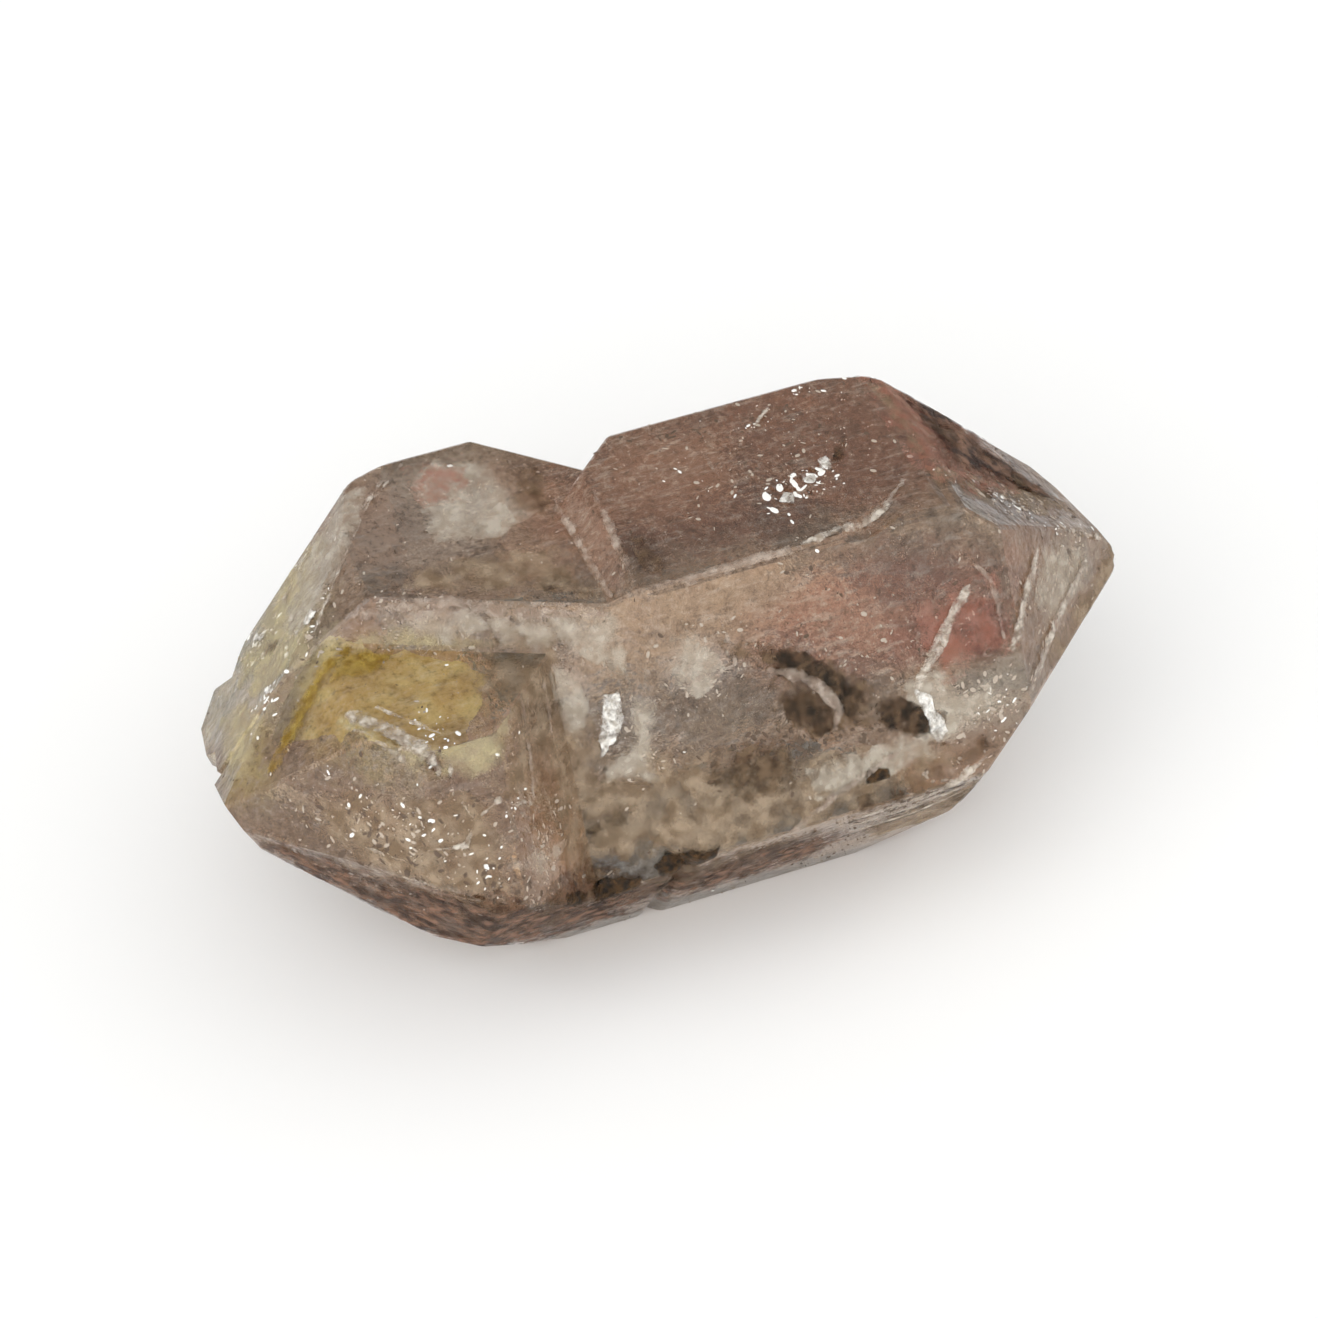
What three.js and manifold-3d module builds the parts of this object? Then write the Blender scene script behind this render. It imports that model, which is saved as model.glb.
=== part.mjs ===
// A herkimer diamond: a clear quartz crystal with points at both ends. Three stout crystals, and a small
// one at the left tip, have grown together, all facing the same way, into one solid that lies on a prism
// face.
// Millimetres, +Z up. +X runs along the crystals' common c axis and -Y is the front.

import * as THREE from "three";
import { mergeVertices } from "three/addons/utils/BufferGeometryUtils.js";
import Module from "manifold-3d";

const wasm = await Module();
wasm.setup();

// Quartz keeps its angles however unevenly it grows: degrees between the c axis and a face's normal.
const PRISM = 90;
const STEEP = 75.3;
const MIDDLE = 68.5;
const TIP = 51.79;

// The six ways a face can look round the c axis: degrees from straight up, turning towards the back.
const AROUND = { top: 0, upperBack: 60, lowerBack: 120, base: 180, lowerFront: 240, upperFront: 300 };

const RIGHT = 1;
const LEFT = -1;

const SPACE = 120; // side of the blocks that stand for the space outside a face
const EDGE_WEAR = 0.035; // depth taken off every edge between two faces

// Each crystal: the centre it grew from; how far its prism faces lie from the c axis through that
// centre; and where the planes of its end faces would meet the same axis.
const rightCrystal = {
  at: [3, -0.9, 6.84],
  sides: { top: 6.84, upperBack: 6.55, lowerBack: 6.1, base: 6.84, lowerFront: 7.1, upperFront: 6.3 },
  caps: [
    { end: RIGHT, tilt: TIP, top: 13.7, upperBack: 13.1, lowerBack: 8.9, base: 10.6, lowerFront: 13.7,
      upperFront: 14.6 },
    { end: RIGHT, tilt: STEEP, upperBack: 28.6 },
    { end: LEFT, tilt: TIP, top: 13.8, upperBack: 11.9, lowerBack: 12, base: 14, lowerFront: 14,
      upperFront: 13.0 },
  ],
};

const leftCrystal = {
  at: [-5, 0, 6.4],
  sides: { top: 6.53, upperBack: 7.5, lowerBack: 6.7, base: 6.4, lowerFront: 7.6, upperFront: 6.5 },
  caps: [
    { end: RIGHT, tilt: TIP, top: 14, upperBack: 10.1, lowerBack: 10, base: 12, lowerFront: 12,
      upperFront: 14 },
    { end: LEFT, tilt: TIP, top: 13.1, upperBack: 12.7, lowerBack: 10, base: 8.4, lowerFront: 12.6 },
    { end: LEFT, tilt: STEEP, upperBack: 31.0 },
    { end: LEFT, tilt: MIDDLE, upperFront: 14.5 },
  ],
};

const frontCrystal = {
  at: [-8, -2, 5.4],
  sides: { top: 6.1, upperBack: 5.2, lowerBack: 4.6, base: 5.4, lowerFront: 5.4, upperFront: 6.6 },
  caps: [
    { end: RIGHT, tilt: TIP, top: 14, upperBack: 8, lowerBack: 8, base: 8, lowerFront: 9.6,
      upperFront: 8.6 },
    { end: LEFT, tilt: TIP, top: 11.2, upperBack: 9.4, lowerBack: 9, base: 5.4, lowerFront: 7.62,
      upperFront: 10.6 },
  ],
};

const tipCrystal = {
  at: [-13.8, 0.9, 7.3],
  sides: { top: 1.85, upperBack: 1.65, lowerBack: 1.7, base: 1.6, lowerFront: 1.7, upperFront: 1.9 },
  caps: [
    { end: RIGHT, tilt: TIP, top: 4, upperBack: 4, lowerBack: 4, base: 4, lowerFront: 4, upperFront: 4 },
    { end: LEFT, tilt: TIP, top: 2.2, upperBack: 2.4, lowerBack: 2.3, base: 2.3, lowerFront: 2.1,
      upperFront: 2.4 },
  ],
};

// Growth steps: how far each further layer of the right crystal moves its faces in or out.
const TERRACES = [
  { layers: 4, sides: { lowerFront: -0.14 }, cap: { base: 0.5 } },
  { layers: 2, sides: {}, cap: { top: -0.22, upperBack: 0.17, lowerBack: 0.1 } },
  { layers: 1, sides: { top: -0.1, upperFront: 0.08 }, cap: { top: 0.35, upperBack: -0.1 } },
];

// Etch pits in the right crystal's top face: where, how wide and how deep.
const PITS = [
  { x: 3.3, y: -1.5, radius: 0.28, depth: 0.22 },
  { x: 3.75, y: -1.75, radius: 0.42, depth: 0.34 },
  { x: 4.35, y: -1.35, radius: 0.3, depth: 0.2 },
  { x: 4.8, y: -1.15, radius: 0.36, depth: 0.26 },
  { x: 5.3, y: -1.3, radius: 0.24, depth: 0.18 },
  { x: 4.3, y: -2.05, radius: 0.22, depth: 0.16 },
];

// A shell-shaped chip out of the ridge at the front of that face.
const CHIP = { at: [5.4, -4.15, 14.55], radii: [2.3, 0.75, 1.15], turned: 24 };

// Points and corners worn round: the way each cut faces, and how far the solid still reaches that way.
const WORN = [
  { towards: [-0.93, 0.37, 0], reach: 14.65 },
  { towards: [-0.96, 0.13, -0.24], reach: 12.85 },
  { towards: [-0.9, -0.09, -0.42], reach: 10.8 },
  { towards: [-0.74, 0.3, 0.6], reach: 15.6 },
  { towards: [-0.57, -0.49, -0.66], reach: 6.85 },
  { towards: [-0.45, -0.58, -0.68], reach: 5.85 },
  { towards: [-0.27, -0.66, -0.7], reach: 4.8 },
  { towards: [0.85, 0.18, 0.49], reach: 16.1 },
];

// The whole solid of a closed three.js geometry.
function solidOf(geometry) {
  const bare = geometry.index ? geometry.toNonIndexed() : geometry.clone();
  bare.deleteAttribute("normal");
  bare.deleteAttribute("uv");
  const merged = mergeVertices(bare, 1e-4);
  return new wasm.Manifold(
    new wasm.Mesh({
      numProp: 3,
      vertProperties: merged.attributes.position.array,
      triVerts: new Uint32Array(merged.index.array),
    }),
  );
}

// The outward normal of a face.
function faceNormal(around, tilt, end = RIGHT) {
  const turn = THREE.MathUtils.degToRad(AROUND[around]);
  const lean = THREE.MathUtils.degToRad(tilt);
  return new THREE.Vector3(
    end * Math.cos(lean),
    Math.sin(lean) * Math.sin(turn),
    Math.sin(lean) * Math.cos(turn),
  );
}

// The block that fills the space beyond a plane: its outward normal, and its distance along it.
function beyond(normal, distance) {
  const block = new THREE.BoxGeometry(SPACE, SPACE, SPACE);
  block.translate(0, 0, SPACE / 2 + distance);
  block.applyQuaternion(new THREE.Quaternion().setFromUnitVectors(new THREE.Vector3(0, 0, 1), normal));
  return solidOf(block);
}

function cornersOf(solid) {
  const { vertProperties, numVert } = solid.getMesh();
  return Array.from({ length: numVert }, (_, i) => new THREE.Vector3().fromArray(vertProperties, 3 * i));
}

// How far a solid reaches in a direction.
function reachOf(corners, direction) {
  return Math.max(...corners.map((corner) => corner.dot(direction)));
}

// Takes a little off every edge where two of the planes meet.
function wearEdges(solid, planes, depth) {
  const corners = cornersOf(solid);
  const liesOn = (corner, plane) => Math.abs(corner.dot(plane.normal) - plane.distance) < 1e-3;
  let worn = solid;
  planes.forEach((one, index) => {
    for (const other of planes.slice(index + 1)) {
      const shared = corners.filter((corner) => liesOn(corner, one) && liesOn(corner, other));
      if (shared.length >= 2) {
        const middle = one.normal.clone().add(other.normal).normalize();
        worn = worn.subtract(beyond(middle, reachOf(corners, middle) - depth));
      }
    }
  });
  return worn;
}

// One crystal: a block cut back to each of its faces, with its edges worn.
function crystal({ at, sides, caps }) {
  const centre = new THREE.Vector3(...at);
  const planes = [];
  const grow = (around, tilt, end, reach) => {
    const normal = faceNormal(around, tilt, end);
    planes.push({ normal, distance: reach + normal.dot(centre) });
  };
  for (const [around, distance] of Object.entries(sides)) {
    grow(around, PRISM, RIGHT, distance);
  }
  for (const { end, tilt, ...faces } of caps) {
    for (const [around, reach] of Object.entries(faces)) {
      grow(around, tilt, end, reach * Math.cos(THREE.MathUtils.degToRad(tilt)));
    }
  }
  const rough = new THREE.BoxGeometry(SPACE / 2, SPACE / 2, SPACE / 2);
  const cut = planes.reduce(
    (solid, { normal, distance }) => solid.subtract(beyond(normal, distance)),
    solidOf(rough),
  );
  return wearEdges(cut, planes, EDGE_WEAR);
}

// The same crystal as it stood with its faces moved by some number of growth layers.
function layered(spec, { sides, cap }, layer) {
  const moved = structuredClone(spec);
  for (const [around, by] of Object.entries(sides)) {
    moved.sides[around] += by * layer;
  }
  for (const [around, by] of Object.entries(cap)) {
    moved.caps[0][around] += by * layer;
  }
  return moved;
}

// A six-sided pit that opens upward at a level.
function pit({ x, y, radius, depth }, level) {
  const cone = new THREE.ConeGeometry(radius, 2 * depth, 6);
  cone.rotateX(-Math.PI / 2);
  cone.translate(x, y, level);
  return solidOf(cone);
}

function geometryOf(solid) {
  const { vertProperties, triVerts } = solid.getMesh();
  const geometry = new THREE.BufferGeometry();
  geometry.setAttribute("position", new THREE.BufferAttribute(new Float32Array(vertProperties), 3));
  geometry.setIndex(new THREE.BufferAttribute(new Uint32Array(triVerts), 1));
  const faceted = geometry.toNonIndexed();
  faceted.computeVertexNormals();
  return faceted;
}

let grown = crystal(rightCrystal);
for (const terrace of TERRACES) {
  for (let layer = 1; layer <= terrace.layers; layer += 1) {
    grown = grown.add(crystal(layered(rightCrystal, terrace, layer)));
  }
}
for (const spec of [leftCrystal, frontCrystal, tipCrystal]) {
  grown = grown.add(crystal(spec));
}

const topLevel = rightCrystal.at[2] + rightCrystal.sides.top;
for (const spot of PITS) {
  grown = grown.subtract(pit(spot, topLevel));
}

const chip = new THREE.SphereGeometry(1, 40, 24);
chip.scale(...CHIP.radii);
chip.rotateZ(THREE.MathUtils.degToRad(CHIP.turned));
chip.translate(...CHIP.at);
grown = grown.subtract(solidOf(chip));

for (const { towards, reach } of WORN) {
  grown = grown.subtract(beyond(new THREE.Vector3(...towards).normalize(), reach));
}

const clearQuartz = new THREE.MeshStandardMaterial({ color: 0xb5a08f, roughness: 0.08, metalness: 0 });

// The origin is the middle of the solid's box, at the level it rests on.
const shape = geometryOf(grown);
shape.center();
shape.translate(0, 0, -shape.boundingBox.min.z);

const piece = new THREE.Mesh(shape, clearQuartz);
piece.name = "quartz_crystal";

const herkimer = new THREE.Group();
herkimer.add(piece);

export default herkimer;
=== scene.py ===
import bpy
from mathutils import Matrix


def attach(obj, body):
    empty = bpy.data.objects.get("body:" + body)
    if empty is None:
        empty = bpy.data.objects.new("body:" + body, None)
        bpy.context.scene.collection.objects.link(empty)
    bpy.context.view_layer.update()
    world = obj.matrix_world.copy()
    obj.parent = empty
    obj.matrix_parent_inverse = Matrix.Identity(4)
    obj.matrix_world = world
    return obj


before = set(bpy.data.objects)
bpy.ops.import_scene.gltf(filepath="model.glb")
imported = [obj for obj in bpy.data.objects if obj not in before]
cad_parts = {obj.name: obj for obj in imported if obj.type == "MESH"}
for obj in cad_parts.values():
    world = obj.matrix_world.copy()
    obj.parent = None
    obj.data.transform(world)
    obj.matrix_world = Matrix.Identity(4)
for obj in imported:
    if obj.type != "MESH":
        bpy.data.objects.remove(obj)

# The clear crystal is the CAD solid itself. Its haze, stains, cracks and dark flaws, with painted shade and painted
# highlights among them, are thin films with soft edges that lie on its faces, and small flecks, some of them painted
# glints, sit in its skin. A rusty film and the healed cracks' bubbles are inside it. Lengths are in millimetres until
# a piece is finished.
"""A herkimer diamond as an add-on: each operator builds one piece or one group of like pieces.

The clear crystal is the CAD solid itself. Its haze, stains, cracks and dark flaws are thin films with soft
edges that lie on its faces, and small flecks sit in its skin. A rusty film and the healed cracks' bubbles
are inside it. Lengths are in millimetres until a piece is finished.
"""

import math
import random

import bmesh
import bpy
from bpy.props import FloatProperty, FloatVectorProperty, IntProperty, PointerProperty
from mathutils import Euler, Matrix, Vector, noise
from mathutils.bvhtree import BVHTree

bl_info = {
    "name": "Herkimer Diamond",
    "version": (1, 0, 0),
    "blender": (4, 5, 0),
    "location": "View3D > Sidebar > Herkimer",
    "description": "Builds a clear quartz crystal with its inclusions, and a plain stage for it",
    "category": "Add Mesh",
}

CRYSTAL = "quartz_crystal"
QUARTZ_IOR = 1.544
MM = 0.001


# ---------------------------------------------------------------- shader maths


class Value:
    """A shader socket that Python's operators work on, in one node tree."""

    def __init__(self, graph, socket):
        self.graph = graph
        self.socket = socket

    def math(self, operation, one, other):
        return self.graph.node("ShaderNodeMath", {"operation": operation}, one, other)

    def __add__(self, other):
        return self.math("ADD", self, other)

    def __radd__(self, other):
        return self.math("ADD", other, self)

    def __sub__(self, other):
        return self.math("SUBTRACT", self, other)

    def __rsub__(self, other):
        return self.math("SUBTRACT", other, self)

    def __mul__(self, other):
        return self.math("MULTIPLY", self, other)

    def __rmul__(self, other):
        return self.math("MULTIPLY", other, self)

    def __truediv__(self, other):
        return self.math("DIVIDE", self, other)

    def __rtruediv__(self, other):
        return self.math("DIVIDE", other, self)

    def rising(self, low, high, top=1.0):
        """0 below low and top above high, smooth between."""
        settings = {"interpolation_type": "SMOOTHSTEP"}
        return self.graph.node("ShaderNodeMapRange", settings, self, low, high, 0.0, top)


class Graph:
    """The node tree of a material, or of the world."""

    def __init__(self, owner, shader="Principled BSDF"):
        owner.use_nodes = True
        self.tree = owner.node_tree
        self.shader = self.tree.nodes[shader]

    def node(self, kind, settings, *inputs, output=0, **named):
        """A node: its type, its settings, then its inputs in order or by name, as numbers or links."""
        made = self.tree.nodes.new(kind)
        for key, setting in settings.items():
            setattr(made, key, setting)
        for key, value in [*enumerate(inputs), *named.items()]:
            socket = made.inputs[key]
            if isinstance(value, Value):
                self.tree.links.new(value.socket, socket)
            else:
                socket.default_value = value
        return Value(self, made.outputs[output])

    def place(self):
        """Object coordinates in millimetres."""
        raw = self.node("ShaderNodeTexCoord", {}, output="Object")
        return self.node("ShaderNodeVectorMath", {"operation": "SCALE"}, raw, Scale=1 / MM)

    def noise(self, place, size_mm, detail=2.0, rough=0.5):
        """Noise between 0 and 1 whose features are about size_mm across."""
        inputs = {"Vector": place, "Scale": 1 / size_mm, "Detail": detail, "Roughness": rough}
        return self.node("ShaderNodeTexNoise", {}, output="Fac", **inputs)

    def towards(self, place, way):
        """How far a place lies along a direction."""
        return self.node("ShaderNodeVectorMath", {"operation": "DOT_PRODUCT"}, place, way, output="Value")

    def mix(self, factor, one, other):
        """From colour one to the other as factor goes from 0 to 1."""
        made = self.tree.nodes.new("ShaderNodeMix")
        made.data_type = "RGBA"
        for socket, value in zip((made.inputs[0], made.inputs[6], made.inputs[7]), (factor, one, other)):
            if isinstance(value, Value):
                self.tree.links.new(value.socket, socket)
            else:
                socket.default_value = value if isinstance(value, float) else (*value, 1.0)
        return Value(self, made.outputs[2])

    def inside(self, place, ragged, spot):
        """From 0 outside an ellipsoid up to the spot's strength in its core, with a ragged edge."""
        shrunk = [1 / reach for reach in spot["reach"]]
        middle = [-at / reach for at, reach in zip(spot["at"], spot["reach"])]
        local = self.node("ShaderNodeVectorMath", {"operation": "MULTIPLY_ADD"}, place, shrunk, middle)
        away = self.node("ShaderNodeVectorMath", {"operation": "LENGTH"}, local, output="Value") + ragged
        return away.rising(1.0, spot.get("core", 0.35), spot["strength"])

    def set(self, **values):
        """Puts numbers, colours and links on the shader's own sockets."""
        for key, value in values.items():
            socket = self.shader.inputs[key.replace("_", " ")]
            if isinstance(value, Value):
                self.tree.links.new(value.socket, socket)
            else:
                socket.default_value = value


# ---------------------------------------------------------------- what the stone holds

# Colours are linear. The quartz wanders between two, and is clouded by patches, wisps and a fine grain.
QUARTZ = (0.58, 0.46, 0.32)
DEEPER_QUARTZ = (0.44, 0.335, 0.235)
SMOKY_PATCHES = (0.14, 0.09, 0.05)
PALE_WISPS = (0.88, 0.82, 0.72)
PALE_GRAIN = (0.85, 0.76, 0.64)
DARK_GRAIN = (0.08, 0.05, 0.025)
# The ways the wisps run, as turns about Z and Y.
WISP_TURNS = ((0.44, 0.7), (-0.7, 1.13), (1.4, -0.52))
# The relief of the faces: how wide its waves are, in millimetres, and how high, in metres.
RELIEF_MM = 1.2
RELIEF_HEIGHT = 0.0004

# Where the quartz is tinted, and where shade is painted into it. Each tint: its middle, how far it reaches each way,
# and how strong it is.
TINTS = [
    # the right crystal: browner above, pink in front, redder towards its right point
    {"at": (4, 1, 14), "reach": (11, 5.5, 3), "colour": (0.38, 0.19, 0.125), "strength": 0.88, "core": 0.6},
    {"at": (11.5, -1, 12), "reach": (4.4, 3.8, 3), "colour": (0.26, 0.13, 0.06), "strength": 0.85,
     "core": 0.6},
    {"at": (5.5, -5, 11.2), "reach": (6.5, 3, 2.8), "colour": (0.5, 0.24, 0.165), "strength": 0.9},
    {"at": (8.7, -6.0, 10.0), "reach": (1.5, 1.3, 1.5), "colour": (0.3, 0.085, 0.055), "strength": 0.92},
    {"at": (6.5, -5.9, 10.3), "reach": (1.6, 1.0, 1.4), "colour": (0.38, 0.14, 0.1), "strength": 0.7},
    # the next two are painted shade: dark spots over the dark wedges in front
    {"at": (3.1, -6.3, 9.4), "reach": (1.7, 0.9, 1.0), "colour": (0.1, 0.06, 0.035), "strength": 0.85,
     "core": 0.5},
    {"at": (5.6, -7.0, 8.4), "reach": (1.3, 0.7, 0.8), "colour": (0.1, 0.06, 0.04), "strength": 0.8},
    {"at": (1.0, -7, 8.3), "reach": (2.4, 1.1, 1.1), "colour": (0.22, 0.13, 0.07), "strength": 0.7},
    {"at": (2.5, -7.5, 7.2), "reach": (5.5, 1.4, 1.5), "colour": (0.34, 0.2, 0.11), "strength": 0.7},
    # painted shade at the seam between the two crystals
    {"at": (-1.2, -2.5, 13.6), "reach": (1.0, 1.3, 0.8), "colour": (0.16, 0.09, 0.05), "strength": 0.7},
    {"at": (-2.2, -1, 13.2), "reach": (0.5, 2.6, 1), "colour": (0.6, 0.42, 0.33), "strength": 0.7,
     "core": 0.7},
    # the left crystal: pale lilac grey on top, with a darker band along the front of it
    {"at": (-6.8, 2.4, 13), "reach": (4.6, 3.6, 2.5), "colour": (0.7, 0.6, 0.5), "strength": 0.8},
    {"at": (-5.4, 2.6, 13), "reach": (1.4, 1.1, 1), "colour": (0.95, 0.88, 0.8), "strength": 0.7},
    {"at": (-5.6, 3.9, 12.9), "reach": (0.9, 0.8, 0.8), "colour": (0.6, 0.24, 0.17), "strength": 0.8},
    # painted shade beside the seam between the two crystals
    {"at": (-2.9, 3.2, 12.9), "reach": (0.9, 1.2, 0.8), "colour": (0.2, 0.13, 0.085), "strength": 0.7},
    {"at": (-6.2, -0.6, 12.9), "reach": (4.4, 1.4, 0.9), "colour": (0.54, 0.4, 0.29), "strength": 0.75,
     "core": 0.6},
    {"at": (-7.8, -1.3, 12.2), "reach": (3.6, 1.0, 0.7), "colour": (0.85, 0.74, 0.63), "strength": 0.7},
    # the clear left edge and tip, greenish yellow
    {"at": (-12.5, 2, 10), "reach": (3.4, 4.5, 5), "colour": (0.9, 0.86, 0.6), "strength": 0.9,
     "core": 0.6},
    {"at": (-12.2, 1.8, 9.9), "reach": (0.9, 0.8, 0.9), "colour": (0.16, 0.17, 0.18), "strength": 0.7},
    {"at": (-14.2, -1.5, 9), "reach": (1.6, 2.4, 1.8), "colour": (0.9, 0.8, 0.36), "strength": 0.85},
    # iron stain at the left front
    {"at": (-9.6, -3, 11), "reach": (4.3, 3.6, 2.2), "colour": (0.8, 0.64, 0.3), "strength": 0.8,
     "core": 0.5},
    # duller below it
    {"at": (-11.5, -4.6, 8), "reach": (3.4, 2.4, 2), "colour": (0.36, 0.26, 0.15), "strength": 0.8,
     "core": 0.5},
    # milky places in the middle
    {"at": (-4.3, -4.0, 10.3), "reach": (0.8, 0.9, 1.6), "colour": (0.9, 0.84, 0.76), "strength": 0.7},
    {"at": (-2.3, -5.0, 9.7), "reach": (0.8, 1.0, 1.3), "colour": (0.9, 0.84, 0.76), "strength": 0.6},
    {"at": (-0.4, -5.3, 11.3), "reach": (1.7, 1.1, 1.4), "colour": (0.9, 0.83, 0.75), "strength": 0.7},
    {"at": (-6.5, -7.4, 7.2), "reach": (1.7, 0.9, 1.1), "colour": (0.8, 0.76, 0.64), "strength": 0.7},
    # the lower edge, red brown: painted shade where the stone sits on the floor
    {"at": (-7.5, -6.5, 3.4), "reach": (7.2, 3.4, 3.3), "colour": (0.13, 0.06, 0.025), "strength": 0.93,
     "core": 0.75},
    {"at": (1.5, -6.5, 2.8), "reach": (4.5, 2.6, 2.8), "colour": (0.24, 0.14, 0.08), "strength": 0.8},
    # the clear lower right end
    {"at": (8.5, -7, 8), "reach": (3, 1.6, 1.6), "colour": (0.8, 0.78, 0.66), "strength": 0.75},
    {"at": (13.2, -3.6, 9.4), "reach": (2.4, 1.8, 1.6), "colour": (0.75, 0.7, 0.55), "strength": 0.75},
    {"at": (7.0, -7.6, 5.6), "reach": (2.4, 1.4, 1.2), "colour": (0.7, 0.64, 0.55), "strength": 0.7},
]

# Every mark is drawn as it is seen on the stone from one side, in millimetres, and lies as a thin film on the
# face that is seen there: at (x, y) from above, (x, z) from the front or the back, and (y, z) from an end.
# A line has a width as well. Each side is given by the directions of its two axes and the way to the viewer.
ABOVE = ((1, 0, 0), (0, 1, 0), (0, 0, 1))
FRONT = ((1, 0, 0), (0, 0, 1), (0, -1, 0))
BACK = ((1, 0, 0), (0, 0, 1), (0, 1, 0))
RIGHT = ((0, 1, 0), (0, 0, 1), (1, 0, 0))
LEFT = ((0, 1, 0), (0, 0, 1), (-1, 0, 0))

# Milky, pale patches.
MILKY = {
    "left_top": (ABOVE, [(-6.6, 4.3), (-5.5, 5.0), (-4.0, 4.5), (-3.1, 1.2), (-4.8, 0.6), (-6.9, 1.1)]),
    "left_band": (FRONT, [(-8.6, 12.6), (-6.3, 12.9), (-6.0, 12.1), (-7.4, 11.5), (-8.7, 11.8)]),
    "middle_top": (FRONT, [(-6.4, 12.6), (-2.4, 13.0), (-2.4, 10.6), (-4.4, 11.6), (-6.2, 11.5)]),
    "middle_left": (FRONT, [(-5.0, 11.3), (-4.1, 11.4), (-3.6, 10.2), (-4.3, 8.7), (-4.9, 9.3)]),
    "middle_right": (FRONT, [(-1.4, 12.4), (-0.6, 12.6), (0.5, 11.1), (-0.7, 10.2), (-1.6, 10.9)]),
    "panel_side": (FRONT, [(-2.9, 10.4), (-1.7, 10.8), (-2.3, 7.8), (-4.3, 7.7), (-3.8, 8.5), (-2.9, 9.3)]),
    "low_left": (FRONT, [(-8.0, 8.3), (-5.2, 6.9), (-5.9, 6.6), (-6.9, 6.8), (-7.8, 7.6)]),
    "low_right": (FRONT, [(2.0, 7.9), (4.8, 7.9), (7.4, 8.4), (9.0, 9.0), (9.1, 8.0), (6.2, 6.7),
                          (2.2, 6.6)]),
    "end": (FRONT, [(5.6, 9.4), (7.4, 9.6), (8.0, 8.2), (7.2, 7.0), (6.0, 7.4)]),
    "tip": (FRONT, [(11.7, 11.0), (14.0, 9.2), (13.7, 8.1), (11.1, 8.6), (10.7, 10.0)]),
    "back_left": (BACK, [(-9.5, 9.4), (-4.4, 10.4), (-3.4, 6.6), (-8.2, 5.4)]),
    "back_right": (BACK, [(3.0, 10.2), (6.4, 10.4), (7.2, 7.4), (4.2, 6.0)]),
    "right_end": (RIGHT, [(-4.6, 7.6), (1.2, 8.0), (2.4, 5.4), (-2.8, 4.4)]),
    "left_strip": (ABOVE, [(-10.3, 4.1), (-8.5, 4.6), (-7.5, 4.7), (-9.2, 1.7), (-11.2, 0.2),
                           (-12.1, 1.4)]),
}
# Grey-brown haze.
TAUPE = {
    "centre": (FRONT, [(-4.6, 8.6), (-1.2, 9.4), (2.2, 8.4), (6.6, 7.6), (8.2, 6.6), (4.0, 5.8),
                       (-1.0, 5.6), (-4.0, 5.4), (-5.4, 7.0)]),
    "middle_left": (FRONT, [(-6.4, 11.5), (-5.1, 10.8), (-5.4, 8.7), (-8.2, 9.6)]),
    "valley": (FRONT, [(-6.2, 10.6), (-3.8, 10.2), (-3.2, 6.0), (-5.8, 5.4)]),
    "below_stain": (FRONT, [(-12.8, 9.6), (-10.4, 10.6), (-8.8, 10.4), (-7.6, 9.6), (-7.8, 7.0),
                            (-10.8, 7.0), (-13.2, 8.2)]),
    "right_top": (ABOVE, [(8.2, 4.0), (8.2, -3.2), (10.4, -3.6), (11.6, 0.6), (10.2, 3.8)]),
    "right_end": (ABOVE, [(8.6, 2.0), (10.6, 0.6), (13.9, -1.2), (14.4, -2.1), (12.1, -3.0), (9.2, -3.0)]),
    "left_top": (ABOVE, [(-8.5, -0.1), (-7.4, 0.7), (-3.1, 0.0), (-2.6, -3.3), (-5.7, -1.8), (-8.3, -0.9)]),
    "right_low": (FRONT, [(4.4, 3.4), (8.8, 6.4), (12.6, 7.4), (12.2, 4.8), (8.6, 1.6), (5.4, 1.0)]),
    "back": (BACK, [(0.4, 11.6), (8.8, 11.8), (11.4, 7.6), (7.6, 4.6), (1.2, 6.2)]),
    "back_low": (BACK, [(-10.4, 6.6), (-3.6, 7.4), (1.0, 5.0), (-2.4, 2.4), (-8.6, 3.0)]),
    "end": (RIGHT, [(-6.4, 8.4), (2.6, 8.8), (4.6, 5.4), (-0.6, 2.2), (-6.2, 4.4)]),
    "stain_side": (ABOVE, [(-7.4, -2.0), (-5.6, -2.2), (-4.2, -3.0), (-4.3, -4.2), (-6.3, -5.4),
                           (-7.5, -4.3)]),
    "low_front": (FRONT, [(-4.9, 6.5), (-3.0, 7.4), (-1.4, 8.2), (0.6, 7.0), (-0.6, 6.3), (-3.4, 5.4),
                          (-5.1, 5.2)]),
}
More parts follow.
